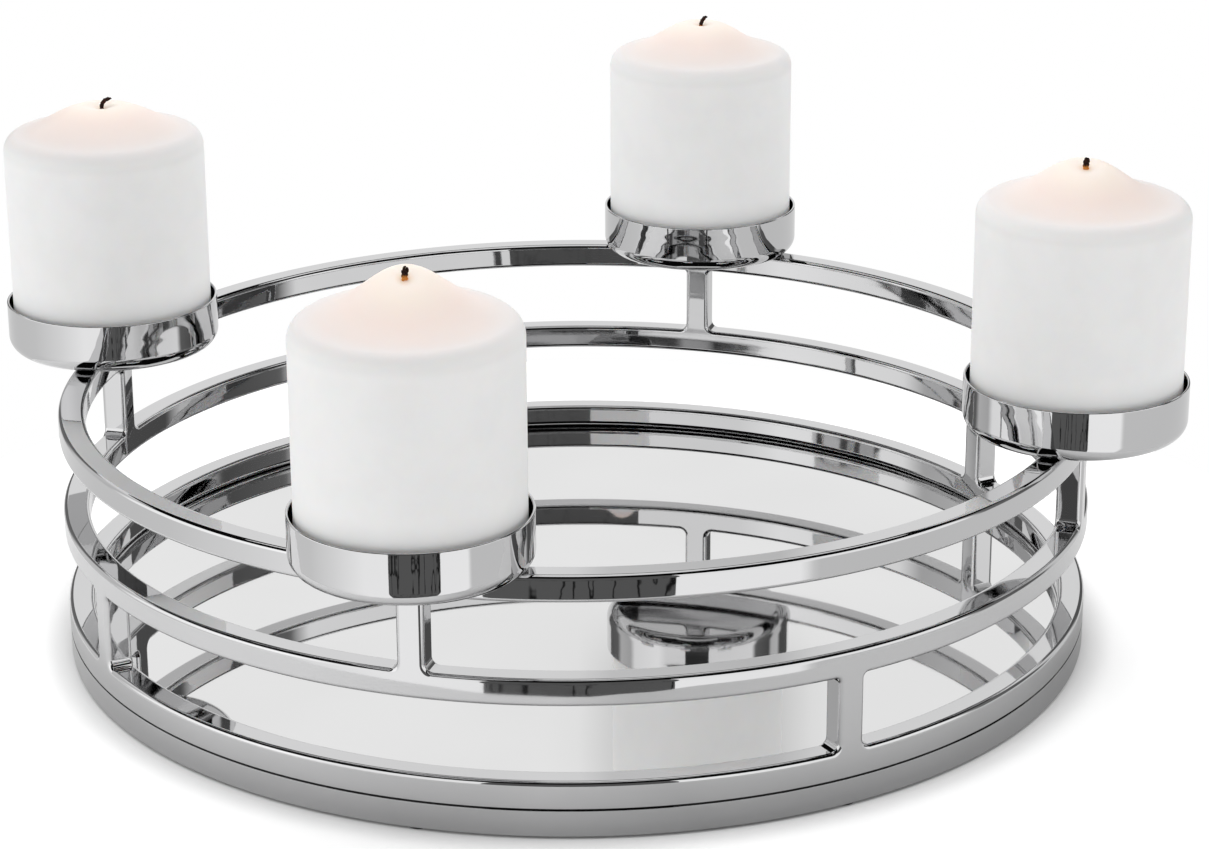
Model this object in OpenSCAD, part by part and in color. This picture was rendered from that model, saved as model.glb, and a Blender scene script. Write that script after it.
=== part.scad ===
// Advent candle holder: stacked metal rings on short posts, a polished floor plate,
// and round dishes on the top ring that each hold one pillar candle.
// Millimetres, +Z up. The origin is under the middle, on the surface it stands on.
// The dishes lie on the -Y (front), +X (right), +Y (back) and -X (left) axes.

/* [Rings] */
// Outer diameter of every ring
ring_d = 400; // [340:5:480]
// Width of a ring's bar, measured towards the middle
bar_w = 10; // [8:0.5:12]
// Height of a ring's bar
bar_h = 10; // [9.5:0.5:14]
// Rounding of the long edges of rings and posts
edge_r = 1; // [0.4:0.1:1.4]
// Clear height between one ring and the next
ring_gap = 28; // [20:1:40]

/* [Posts] */
// Width of a post along the ring
post_w = 10; // [8:0.5:14]
// How deep a post's end sits in a ring
post_seat = 1.6; // [1.6:0.1:2.4]
// Fillet between a post's foot and the ring under it
foot_fillet_r = 3; // [0.5:0.5:3.5]
// Fillet between a post's head and the ring above it
head_fillet_r = 2; // [0.5:0.5:3.5]

/* [Base] */
// Thickness of the polished floor plate
plate_t = 0.8; // [0.6:0.1:1.5]
// How far the plate's edge lies inside the rings' outer face
plate_inset = 0.6; // [0.4:0.1:1.2]
// Diameter of a felt pad
pad_d = 8; // [5:0.5:8]
// Thickness of a felt pad
pad_t = 0.8; // [0.5:0.1:2]
// Number of felt pads
pad_count = 8; // [4:4:12]

/* [Dishes] */
// Thickness of a dish's wall
dish_wall = 1; // [0.8:0.1:1.6]
// Height of a dish
dish_h = 20; // [14:1:26]
// Thickness of a dish's floor
dish_floor = 2.4; // [2.3:0.1:3.2]
// Rounding between a dish's wall and its underside
dish_corner_r = 6; // [4:0.5:7]
// Rounding between a dish's wall and its floor, inside
dish_inner_r = 3; // [2:0.5:3.5]
// Gap between a candle and the dish's wall
candle_play = 1.5; // [1:0.1:3]

/* [Candles] */
// Diameter of a candle
candle_d = 79; // [70:1:90]
// Height of the candle's straight side
candle_side_h = 80; // [50:1:140]
// Rounding at the foot of a candle
candle_foot_r = 2; // [1.5:0.1:3]
// Width of the rounded shoulder of a candle
shoulder_w = 11; // [6:0.5:14]
// Height of the rounded shoulder of a candle
shoulder_h = 5.4; // [3:0.2:7]
// Rise of the sloping top from the shoulder to the middle
top_rise = 2.3; // [1:0.1:5]
// Height of the wax peak around the wick, before the melt pool is cut into it
peak_h = 14.1; // [8:0.1:18]
// Distance from the wick over which the peak fades out
peak_spread = 21.5; // [14:0.5:26]
// Depth of the melt pool around the wick
pool_depth = 5; // [3:0.1:7]
// Distance from the wick over which the melt pool fades out
pool_spread = 6.4; // [5:0.1:8]

/* [Wicks] */
// Width of the flat braided wick
wick_w = 2.1; // [1.2:0.1:3]
// Thickness of the wick
wick_t = 0.9; // [0.6:0.1:1.1]
// Length that a wick reaches out of the wax, before it is bent
wick_out = 5; // [4:0.5:8]
// Gap around the wick in the wax
wick_play = 0.05; // [0.02:0.01:0.1]

/* [Screws] */
// Diameter of a screw's shank
screw_d = 4; // [3:0.5:4]
// Diameter of a countersunk head
head_d = 7.5; // [6:0.5:7.5]
// Height of a countersunk head
head_h = 2.2; // [1.6:0.1:2.2]
// Length of a screw that holds the base together
base_screw_l = 16; // [14:1:18]
// Number of base screws
base_screw_count = 8; // [4:4:12]
// Length of a screw that holds a dish
dish_screw_l = 10; // [8:0.5:10]
// Radial play of a shank in a plain hole
hole_play = 0.25; // [0.1:0.05:0.5]
// Radial play of a shank in its threaded hole
thread_play = 0.05; // [0.02:0.01:0.1]
// Depth left free past the end of a screw
tip_play = 0.6; // [0.3:0.1:0.8]
// Width across the flats of the hexagon socket
socket_af = 2.5; // [2:0.5:2.5]
// Depth of the hexagon socket
socket_depth = 1.4; // [1:0.1:1.6]

/* [Hidden] */

// Fineness of round faces and of small round edges
round_fn = 120;
edge_fn = 32;
hex_fn = 6;
// Steps along the sloping top of a candle
top_steps = 30;
// How full the bell of the wax peak is: 2 is a plain bell
peak_power = 2.24;
shoulder_steps = 8;
// Steps along the bend of a wick
bend_steps = 10;
// How far every cut reaches past the face it opens
overrun = 1;

// The four sides, seen from above
front = -90;
right = 0;
back = 90;
left = 180;
quarter = 90;
half_quarter = 45;

// Heights, from the surface it stands on
ring_r = ring_d / 2;
foot_z = pad_t;
plate_z = foot_z + bar_h;
floor_z = plate_z + plate_t;
bottom_z = floor_z;
middle_z = bottom_z + bar_h + ring_gap;
top_z = middle_z + bar_h + ring_gap;
dish_z = top_z + bar_h;
candle_z = dish_z + dish_floor;

// Centre lines
bar_line_r = ring_r - bar_w / 2;
dish_inner_d = candle_d + 2 * candle_play;
dish_r = dish_inner_d / 2 + dish_wall;
candle_r = candle_d / 2;
pool_z = candle_side_h + shoulder_h + top_rise + peak_h - pool_depth;

// Colours
polished = [0.80, 0.80, 0.81];
mirror_steel = [0.86, 0.86, 0.87];
screw_steel = [0.55, 0.56, 0.58];
felt_grey = [0.16, 0.16, 0.17];
wax = [0.96, 0.94, 0.92];
char = [0.12, 0.08, 0.06];

// Each wick: way it leans, bend angle, then the straight stub and the bend's
// radius as shares of the length outside the wax
front_wick_shares = [-62, 34, 0.20, 1.65];
right_wick_shares = [-76, 52, 0.30, 0.97];
back_wick_shares = [17, 65, 0.02, 0.95];
left_wick_shares = [20, 102, 0.16, 0.68];

// Section of a bar: width w from 0 outwards, height h from 0 up,
// with its lower edges rounded by r_low and its upper edges by r_high
module bar_section(w, h, r_low, r_high) {
    difference() {
        square([w, h]);
        for (side = [0, 1]) {
            translate([side * w, 0]) mirror([side, 0]) corner_waste(r_low);
            translate([side * w, h]) mirror([side, 0]) mirror([0, 1]) corner_waste(r_high);
        }
    }
}

// What a rounding of radius r takes off a square corner at the origin
module corner_waste(r) {
    difference() {
        translate([-overrun, -overrun]) square([r + overrun, r + overrun]);
        translate([r, r]) circle(r, $fn = edge_fn);
    }
}

// Ring of square bar with its underside at height z
module bar_ring(z, r_low, r_high) {
    translate([0, 0, z])
        rotate_extrude($fn = round_fn)
            translate([ring_r - bar_w, 0]) bar_section(bar_w, bar_h, r_low, r_high);
}

// Sockets that take the post ends, on four sides from angle first
module post_sockets(z, first) {
    for (i = [0:3])
        rotate([0, 0, first + quarter * i])
            translate([ring_r - bar_w - overrun, -post_w / 2, z])
                cube([bar_w + 2 * overrun, post_w, post_seat]);
}

// Holes for the base screws, from height z up
module base_screw_holes(z, height, play) {
    for (i = [0:base_screw_count - 1])
        rotate([0, 0, base_screw_angle(i)])
            translate([bar_line_r, 0, z])
                cylinder(r = screw_d / 2 + play, h = height, $fn = round_fn);
}

function base_screw_angle(i) = (i + 0.5) * 360 / base_screw_count;

// Cone that seats a countersunk head, wide end at height 0, narrow end above
module head_cone(play) {
    cylinder(r1 = head_d / 2 + play, r2 = screw_d / 2 + play, h = head_h, $fn = round_fn);
}

// Lowest ring, which the felt pads are stuck to
module foot_ring() {
    color(polished)
        difference() {
            bar_ring(foot_z, edge_r, 0);
            base_screw_holes(foot_z - overrun, bar_h + 2 * overrun, hole_play);
            for (i = [0:base_screw_count - 1])
                rotate([0, 0, base_screw_angle(i)])
                    translate([bar_line_r, 0, foot_z]) head_cone(thread_play);
        }
}

// Polished floor plate, held between the foot ring and the bottom ring
module floor_plate() {
    color(mirror_steel)
        difference() {
            translate([0, 0, plate_z])
                cylinder(r = ring_r - plate_inset, h = plate_t, $fn = round_fn);
            base_screw_holes(plate_z - overrun, plate_t + 2 * overrun, hole_play);
        }
}

// Ring on the floor plate, threaded from below and socketed for the lower posts
module bottom_ring() {
    hole_top = foot_z + base_screw_l + tip_play;
    color(polished)
        difference() {
            bar_ring(bottom_z, 0, edge_r);
            base_screw_holes(bottom_z - overrun, hole_top - bottom_z + overrun, thread_play);
            post_sockets(bottom_z + bar_h - post_seat, half_quarter);
        }
}

// Ring between the two rows of posts
module middle_ring() {
    color(polished)
        difference() {
            bar_ring(middle_z, edge_r, edge_r);
            post_sockets(middle_z, half_quarter);
            post_sockets(middle_z + bar_h - post_seat, 0);
        }
}

// Ring that carries the dishes, threaded from above
module top_ring() {
    hole_h = dish_screw_l - dish_floor + tip_play;
    color(polished)
        difference() {
            bar_ring(top_z, edge_r, edge_r);
            post_sockets(top_z, 0);
            for (i = [0:3])
                rotate([0, 0, quarter * i])
                    translate([bar_line_r, 0, dish_z - hole_h])
                        cylinder(r = screw_d / 2 + thread_play, h = hole_h + overrun, $fn = round_fn);
        }
}

// Concave fillet of radius r between a post's side and a ring's face, as long as the
// bar's flat
module post_fillet(r) {
    translate([-(bar_w / 2 - edge_r), 0, 0])
        rotate([quarter, 0, quarter])
            linear_extrude(bar_w - 2 * edge_r)
                difference() {
                    square(r);
                    translate([r, r]) circle(r, $fn = edge_fn);
                }
}

// Square post between the ring whose top face is at height z and the next ring
module post(angle, z) {
    color(polished)
        rotate([0, 0, angle])
            translate([bar_line_r, 0, z]) {
                translate([-bar_w / 2, 0, 0])
                    linear_extrude(ring_gap)
                        translate([0, -post_w / 2])
                            bar_section(bar_w, post_w, edge_r, edge_r);
                for (end = [-post_seat, ring_gap])
                    translate([-bar_w / 2, -post_w / 2, end])
                        cube([bar_w, post_w, post_seat]);
                for (side = [0, 1])
                    mirror([0, side, 0]) {
                        translate([0, post_w / 2, 0]) post_fillet(foot_fillet_r);
                        translate([0, post_w / 2, ring_gap])
                            mirror([0, 0, 1]) post_fillet(head_fillet_r);
                    }
            }
}

// Half section of a dish: the floor's underside is at height 0
module dish_section() {
    inner_r = dish_r - dish_wall;
    rim_r = dish_wall / 2;
    difference() {
        union() {
            square([dish_r - dish_corner_r, dish_h - rim_r]);
            translate([0, dish_corner_r]) square([dish_r, dish_h - rim_r - dish_corner_r]);
            translate([dish_r - dish_corner_r, dish_corner_r]) circle(dish_corner_r, $fn = edge_fn * 2);
        }
        translate([-overrun, dish_floor])
            square([inner_r - dish_inner_r + overrun, dish_h]);
        translate([-overrun, dish_floor + dish_inner_r]) square([inner_r + overrun, dish_h]);
        translate([inner_r - dish_inner_r, dish_floor + dish_inner_r])
            circle(dish_inner_r, $fn = edge_fn);
        translate([-dish_r, -overrun]) square([dish_r, dish_h + 2 * overrun]);
    }
    translate([dish_r - rim_r, dish_h - rim_r]) circle(rim_r, $fn = edge_fn);
}

// Thin-walled round dish on the top ring
module dish(angle) {
    color(polished)
        rotate([0, 0, angle])
            translate([bar_line_r, 0, dish_z])
                difference() {
                    rotate_extrude($fn = round_fn) dish_section();
                    translate([0, 0, -overrun])
                        cylinder(r = screw_d / 2 + hole_play, h = dish_floor + 2 * overrun, $fn = round_fn);
                    translate([0, 0, dish_floor]) mirror([0, 0, 1]) head_cone(thread_play);
                }
}

// Countersunk screw of length l with its head's face at height 0 and its tip above
module screw(l) {
    difference() {
        union() {
            head_cone(0);
            cylinder(r = screw_d / 2, h = l, $fn = round_fn);
        }
        translate([0, 0, -overrun])
            cylinder(d = socket_af / cos(180 / hex_fn), h = socket_depth + overrun, $fn = hex_fn);
    }
}

// Screws that hold the dishes down, under the candles
module dish_screws() {
    color(screw_steel)
        for (i = [0:3])
            rotate([0, 0, quarter * i])
                translate([bar_line_r, 0, candle_z]) mirror([0, 0, 1]) screw(dish_screw_l);
}

// Screws that clamp the plate between the foot ring and the bottom ring
module base_screws() {
    color(screw_steel)
        for (i = [0:base_screw_count - 1])
            rotate([0, 0, base_screw_angle(i)])
                translate([bar_line_r, 0, foot_z]) screw(base_screw_l);
}

// Round felt pads under the foot ring
module felt_pads() {
    color(felt_grey)
        for (i = [0:pad_count - 1])
            rotate([0, 0, i * 360 / pad_count])
                translate([bar_line_r, 0, 0]) cylinder(d = pad_d, h = pad_t, $fn = round_fn);
}

// Height of the sloping top at distance r from the wick: a shallow cone with a
// bell-shaped peak in its middle, and the melt pool that is cut into the peak
function top_height(r) =
    candle_side_h + shoulder_h + top_rise * (1 - r / (candle_r - shoulder_w))
    + peak_h * exp(-pow(r / peak_spread, peak_power))
    - pool_depth * exp(-pow(r / pool_spread, 2));

// The shoulder: an arc from the top's edge down to the straight side
function shoulder_point(t) =
    let (start_h = top_height(candle_r - shoulder_w))
    [candle_r - shoulder_w + shoulder_w * sin(t),
     candle_side_h + (start_h - candle_side_h) * cos(t)];

// Half section of a candle, standing at height 0
module candle_section() {
    flat_r = candle_r - shoulder_w;
    top_points = [for (i = [0:top_steps]) let (r = flat_r * i / top_steps) [r, top_height(r)]];
    shoulder_points = [for (i = [1:shoulder_steps]) shoulder_point(quarter * i / shoulder_steps)];
    difference() {
        polygon(concat([[0, 0]], top_points, shoulder_points, [[candle_r, 0]]));
        translate([candle_r, 0]) mirror([1, 0]) corner_waste(candle_foot_r);
    }
}

// Pillar candle with a channel for its wick
module candle(angle, shares) {
    color(wax)
        rotate([0, 0, angle])
            translate([bar_line_r, 0, candle_z])
                difference() {
                    rotate_extrude($fn = round_fn) candle_section();
                    rotate([0, 0, shares[0] - angle])
                        translate([-wick_t / 2 - wick_play, -wick_w / 2 - wick_play, -overrun])
                            cube([wick_t + 2 * wick_play, wick_w + 2 * wick_play,
                                  pool_z + 2 * overrun]);
                }
}

// Outline of a wick seen from its edge: straight up to height h, then bent by angle
// about a point at distance bend_r, towards +X
function wick_side(h, bend_r, angle, offset) =
    [for (i = [0:bend_steps])
        let (b = angle * i / bend_steps)
        [bend_r - (bend_r - offset) * cos(b), h + (bend_r - offset) * sin(b)]];

module wick_outline(h, bend_r, angle) {
    outer = wick_side(h, bend_r, angle, -wick_t / 2);
    inner = wick_side(h, bend_r, angle, wick_t / 2);
    polygon(concat([[wick_t / 2, 0], [-wick_t / 2, 0]], outer,
                   [for (i = [bend_steps:-1:0]) inner[i]]));
}

// Flat braided wick: straight through the wax, then bent over at its tip
module wick(angle, shares) {
    color(char)
        rotate([0, 0, angle])
            translate([bar_line_r, 0, candle_z])
                rotate([0, 0, shares[0] - angle])
                    translate([0, wick_w / 2, 0])
                        rotate([quarter, 0, 0])
                            linear_extrude(wick_w)
                                wick_outline(pool_z + wick_out * shares[2],
                                             wick_out * shares[3], shares[1]);
}

module post_front_right() post(front + half_quarter, bottom_z + bar_h);
module post_back_right() post(right + half_quarter, bottom_z + bar_h);
module post_back_left() post(back + half_quarter, bottom_z + bar_h);
module post_front_left() post(left + half_quarter, bottom_z + bar_h);
module post_front() post(front, middle_z + bar_h);
module post_right() post(right, middle_z + bar_h);
module post_back() post(back, middle_z + bar_h);
module post_left() post(left, middle_z + bar_h);
module dish_front() dish(front);
module dish_right() dish(right);
module dish_back() dish(back);
module dish_left() dish(left);
module candle_front() candle(front, front_wick_shares);
module candle_right() candle(right, right_wick_shares);
module candle_back() candle(back, back_wick_shares);
module candle_left() candle(left, left_wick_shares);
module wick_front() wick(front, front_wick_shares);
module wick_right() wick(right, right_wick_shares);
module wick_back() wick(back, back_wick_shares);
module wick_left() wick(left, left_wick_shares);

foot_ring();
floor_plate();
bottom_ring();
middle_ring();
top_ring();
post_front_right();
post_back_right();
post_back_left();
post_front_left();
post_front();
post_right();
post_back();
post_left();
dish_front();
dish_right();
dish_back();
dish_left();
dish_screws();
base_screws();
felt_pads();
candle_front();
candle_right();
candle_back();
candle_left();
wick_front();
wick_right();
wick_back();
wick_left();
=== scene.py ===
"""Looks of a round advent candle holder: polished rings and posts round a mirror floor,
four dishes with pillar candles and braided wicks, and the plain studio it stands in.

Lengths are in metres. The front dish lies towards -Y, and the camera stands a little to
the right of it.
"""

import math

import bpy
import numpy as np
from bpy.props import FloatProperty, FloatVectorProperty, PointerProperty
from mathutils import Matrix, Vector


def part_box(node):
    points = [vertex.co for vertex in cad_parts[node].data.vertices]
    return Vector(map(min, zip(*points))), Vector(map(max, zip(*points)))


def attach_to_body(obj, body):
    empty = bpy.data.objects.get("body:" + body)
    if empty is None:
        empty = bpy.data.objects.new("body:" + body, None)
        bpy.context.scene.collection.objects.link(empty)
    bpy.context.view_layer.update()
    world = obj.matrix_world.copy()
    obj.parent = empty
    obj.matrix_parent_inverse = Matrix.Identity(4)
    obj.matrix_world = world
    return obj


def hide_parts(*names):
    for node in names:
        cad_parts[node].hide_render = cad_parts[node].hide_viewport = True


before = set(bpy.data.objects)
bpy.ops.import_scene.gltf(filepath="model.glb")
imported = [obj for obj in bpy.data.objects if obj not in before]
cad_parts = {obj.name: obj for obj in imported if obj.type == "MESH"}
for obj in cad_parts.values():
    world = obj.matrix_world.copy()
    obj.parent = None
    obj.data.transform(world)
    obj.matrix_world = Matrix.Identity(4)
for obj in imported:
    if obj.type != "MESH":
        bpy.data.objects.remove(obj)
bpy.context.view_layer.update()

bl_info = {
    "name": "Advent Candle Holder",
    "version": (1, 0, 0),
    "blender": (4, 5, 0),
    "location": "3D View > Sidebar > Candle Holder",
    "description": "Polished ring frame with dishes, pillar candles and a plain studio",
    "category": "Add Mesh",
}

MM = 0.001
SIDES = ("front", "right", "back", "left")
CORNERS = ("front_right", "back_right", "back_left", "front_left")
HOLDER = "holder"
FULL_TURN = 2 * math.pi
QUARTER_TURN = math.pi / 2
EIGHTH_TURN = math.pi / 4
WHITE = (1, 1, 1, 1)
BLACK = (0, 0, 0, 1)
# Points round each kind of piece
ROUND_COUNTS = {"base": 480, "dish": 216, "candle": 192, "disc": 128, "pad": 48,
                "strand": 14}


def span(node):
    """Lowest and highest corner of a CAD node, as two arrays."""
    low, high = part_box(node)
    return np.array(low), np.array(high)


def side_centre(side):
    """Where a dish's axis meets the table: the middle of its box."""
    low, high = span("dish_" + side)
    return (low[:2] + high[:2]) / 2


RING_RADIUS = float(span("top_ring")[1][0])
CANDLE_RADIUS = float(span("candle_front")[1][0])


def in_mm(name, description, millimetres):
    """A length that the user may change."""
    return FloatProperty(name=name, description=description, default=millimetres * MM,
                         unit="LENGTH")


def in_degrees(name, description, degrees):
    """An angle that the user may change."""
    return FloatProperty(name=name, description=description,
                         default=math.radians(degrees), subtype="ANGLE")


def as_colour(name, description, value):
    """A colour that the user may change."""
    return FloatVectorProperty(name=name, description=description, default=(*value, 1),
                               size=4, subtype="COLOR")


class SteelSettings(bpy.types.PropertyGroup):
    """Sizes and colours of the polished metal."""

    bar_width: in_mm("Bar width", "Depth of a ring's bar, towards the middle", 10)
    edge_radius: in_mm("Edge radius", "Rounding of the long edges of rings and posts", 1.8)
    seam_radius: in_mm("Seam radius", "Small rounding beside the seam of the base", 0.12)
    plate_edge_radius: in_mm(
        "Plate edge radius", "Rounding of the bottom ring at the plate", 3.2)
    post_width: in_mm("Post width", "Width of a post along the ring", 10)
    foot_fillet: in_mm("Foot fillet", "Fillet between a post and the ring under it", 3)
    head_fillet: in_mm("Head fillet", "Fillet between a post and the ring above it", 2)
    dish_wall: in_mm("Dish wall", "Thickness of a dish's wall", 1)
    dish_floor: in_mm("Dish floor", "Thickness of a dish's floor", 2.4)
    dish_corner: in_mm(
        "Dish corner", "Rounding between a dish's wall and its underside", 6)
    dish_inner_corner: in_mm(
        "Inner corner", "Rounding between a dish's wall and its floor", 3)
    screw_hole: in_mm("Screw hole", "Radius of a plain screw hole", 2.25)
    screw_seat: in_mm("Screw seat", "Radius of a countersink at its face", 3.8)
    screw_seat_depth: in_mm("Seat depth", "Depth of a countersink", 2.2)
    bar_colour: as_colour(
        "Bar colour", "Reflected colour of rings, posts and dishes", (0.61, 0.61, 0.615))
    plate_colour: as_colour(
        "Plate colour", "Reflected colour of the mirror floor", (0.765, 0.765, 0.765))


class CandleSettings(bpy.types.PropertyGroup):
    """Sizes and colours of candles and wicks."""

    foot_radius: in_mm("Foot radius", "Rounding at a candle's foot", 2)
    shoulder_width: in_mm("Shoulder width", "Width of a candle's rounded shoulder", 5)
    shoulder_height: in_mm("Shoulder height", "Height of a candle's rounded shoulder", 5.6)
    top_sink: in_mm("Top sink", "How far the top sinks from its brim to the middle", 4)
    crest_heading: in_degrees(
        "Crest heading", "Way from each wick to the crest behind it", 106.57)
    pool_depth: in_mm("Pool depth", "Depth of the melt pool round a wick", 1.6)
    pool_width: in_mm("Pool width", "Distance over which the melt pool fades out", 5)
    wick_length: in_mm("Wick length", "Rough length of a wick outside the wax", 5)
    wick_width: in_mm("Wick width", "Width of the flat braid", 2.5)
    wax_colour: as_colour("Wax colour", "Colour of the wax", (0.95, 0.95, 0.945))
    # Painted glow: the warm colour drawn on the top round the wick, as light shining
    # through the thin wax.
    painted_glow_colour: as_colour(
        "Top colour", "Warm colour of the thin wax round the wick", (0.98, 0.865, 0.79))


class StudioSettings(bpy.types.PropertyGroup):
    """The camera's place, the floor and the light."""

    azimuth: in_degrees(
        "Azimuth", "Turn of the camera from the front dish to the right", 16.57)
    distance: in_mm("Distance", "Camera's distance from the upright axis", 1218.3)
    height: in_mm("Height", "Camera's height above the table", 512.8)
    pitch: in_degrees("Pitch", "How far the camera looks down", 19.545)
    yaw: in_degrees("Yaw", "How far the camera looks right of the axis", 0.527)
    roll: in_degrees("Roll", "Tilt of the picture", -0.275)
    lens: FloatProperty(
        name="Lens", description="Focal length on a 36 mm wide sensor, in millimetres",
        default=98.08)
    floor_radius: in_mm("Floor radius", "Radius of the round white floor", 320)
    light_level: FloatProperty(
        name="Light level", description="Brightness of the soft light from all round",
        default=1.0)
    floor_glow: FloatProperty(
        name="Floor whiteness", description="White added to the floor as it is seen",
        default=0.40)


# Meshes from grids of points


def grid_faces(rows, columns, close_rows, close_columns):
    """Corners of the faces of a grid of points, joined end to start where it closes."""
    row = np.arange(rows if close_rows else rows - 1)[:, None]
    column = np.arange(columns if close_columns else columns - 1)[None, :]
    next_row = (row + 1) % rows
    next_column = (column + 1) % columns
    corners = (row * columns + column, next_row * columns + column,
               next_row * columns + next_column, row * columns + next_column)
    return np.stack(np.broadcast_arrays(*corners), axis=-1).reshape(-1, 4)


def facing(points, normals, faces):
    """The faces, turned so that their sides agree with the normals."""
    first, second, third, fourth = (points[faces[:, i]] for i in range(4))
    across = np.cross(third - first, fourth - second)
    outward = normals[faces].mean(axis=1)
    return faces[:, ::-1] if np.sum(across * outward) < 0 else faces


def welded(points, normals, faces):
    """Joins points that lie together, and makes triangles of pinched faces. The shift
    keeps round coordinates away from the steps of the grid that they are snapped to."""
    grain, shift = 0.001 * MM, 0.37
    keys = np.round(points / grain + shift).astype(np.int64)
    _, kept, places = np.unique(keys, axis=0, return_index=True, return_inverse=True)
    faces = places.ravel()[faces]
    repeats = faces == np.roll(faces, -1, axis=1)
    count = repeats.sum(axis=1)
    pinched = faces[count == 1]
    start = repeats[count == 1].argmax(axis=1)[:, None]
    triangles = np.take_along_axis(pinched, (start + np.arange(1, 4)) % 4, axis=1)
    return points[kept], normals[kept], faces[count == 0].tolist() + triangles.tolist()


def make_piece(name, sheets, material):
    """One mesh object from sheets, each a grid of points, a grid of normals and whether
    its rows and its columns close. The shading takes the normals as they are given."""
    points, normals, faces, start = [], [], [], 0
    for grid, grid_normals, close in sheets:
        corners = grid_faces(*grid.shape[:2], *close)
        flat, flat_normals = grid.reshape(-1, 3), grid_normals.reshape(-1, 3)
        faces.append(facing(flat, flat_normals, corners) + start)
        points.append(flat)
        normals.append(flat_normals)
        start += len(flat)
    points, normals, faces = welded(
        np.concatenate(points), np.concatenate(normals), np.concatenate(faces))
    mesh = bpy.data.meshes.new(name)
    mesh.from_pydata(points.tolist(), [], faces)
    mesh.shade_smooth()
    mesh.normals_split_custom_set_from_vertices(normals.tolist())
    mesh.materials.append(material)
    piece = bpy.data.objects.new(name, mesh)
    bpy.context.scene.collection.objects.link(piece)
    return piece


def unit(vectors):
    """Vectors scaled to length one."""
    return vectors / np.linalg.norm(vectors, axis=-1, keepdims=True)


def around(angles):
    """Level unit vectors at these angles from +X."""
    return np.stack([np.cos(angles), np.sin(angles), np.zeros_like(angles)], axis=-1)


def rounded_outline(corners, radii, steps):
    """Closed outline of a polygon, counter-clockwise, whose corners are arcs of so many
    steps. A corner's arc touches both sides: its centre lies radius / sin(half angle)
    along the bisector. Returns the points and the outward normals."""
    corners = np.array(corners, float)
    turns = np.linspace(0, 1, steps + 1)[:, None]
    points, normals = [], []
    for i, radius in enumerate(radii):
        corner = corners[i]
        back = unit(corners[i - 1] - corner)
        ahead = unit(corners[(i + 1) % len(corners)] - corner)
        half = math.acos(np.clip(back @ ahead, -1, 1)) / 2
        centre = corner + unit(back + ahead) * radius / math.sin(half)
        first = (corner + back * radius / math.tan(half) - centre) / radius
        last = (corner + ahead * radius / math.tan(half) - centre) / radius
        sweep = math.pi - 2 * half
        arc = first * np.sin((1 - turns) * sweep) + last * np.sin(turns * sweep)
        arc = arc / math.sin(sweep)
        inward = back[0] * ahead[1] - back[1] * ahead[0] > 0
        points.append(centre + arc * radius)
        normals.append(-arc if inward else arc)
    return np.concatenate(points), np.concatenate(normals)


def revolved(outline, outline_normals, centre, angles, close_outline):
    """Sheet that carries an outline of (distance, height) pairs round an upright axis:
    each point goes to centre + distance * (cos a, sin a), at its height."""
    outward = around(angles)[:, None, :]
    up = np.array([0.0, 0.0, 1.0])
    points = outline[None, :, :1] * outward + outline[None, :, 1:] * up
    points = points + np.array([centre[0], centre[1], 0.0])
    normals = outline_normals[None, :, :1] * outward + outline_normals[None, :, 1:] * up
    return points, normals, (True, close_outline)


def circle_angles(kind):
    """Angles of evenly spaced points round a kind of piece."""
    count = ROUND_COUNTS[kind]
    return np.arange(count) * FULL_TURN / count


# Node trees and materials


class Value:
    """A number output of a node tree. Sums on it add their Math nodes."""

    def __init__(self, recipe, socket):
        self.recipe = recipe
        self.socket = socket

    def maths(self, operation, first, second):
        return self.recipe.node("ShaderNodeMath", {"operation": operation},
                                {0: first, 1: second})

    def __add__(self, other):
        return self.maths("ADD", self, other)

    __radd__ = __add__

    def __mul__(self, other):
        return self.maths("MULTIPLY", self, other)

    __rmul__ = __mul__

    def __sub__(self, other):
        return self.maths("SUBTRACT", self, other)

    def __rsub__(self, other):
        return self.maths("SUBTRACT", other, self)

    def __truediv__(self, other):
        return self.maths("DIVIDE", self, other)

    def __pow__(self, other):
        return self.maths("POWER", self, other)


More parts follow.
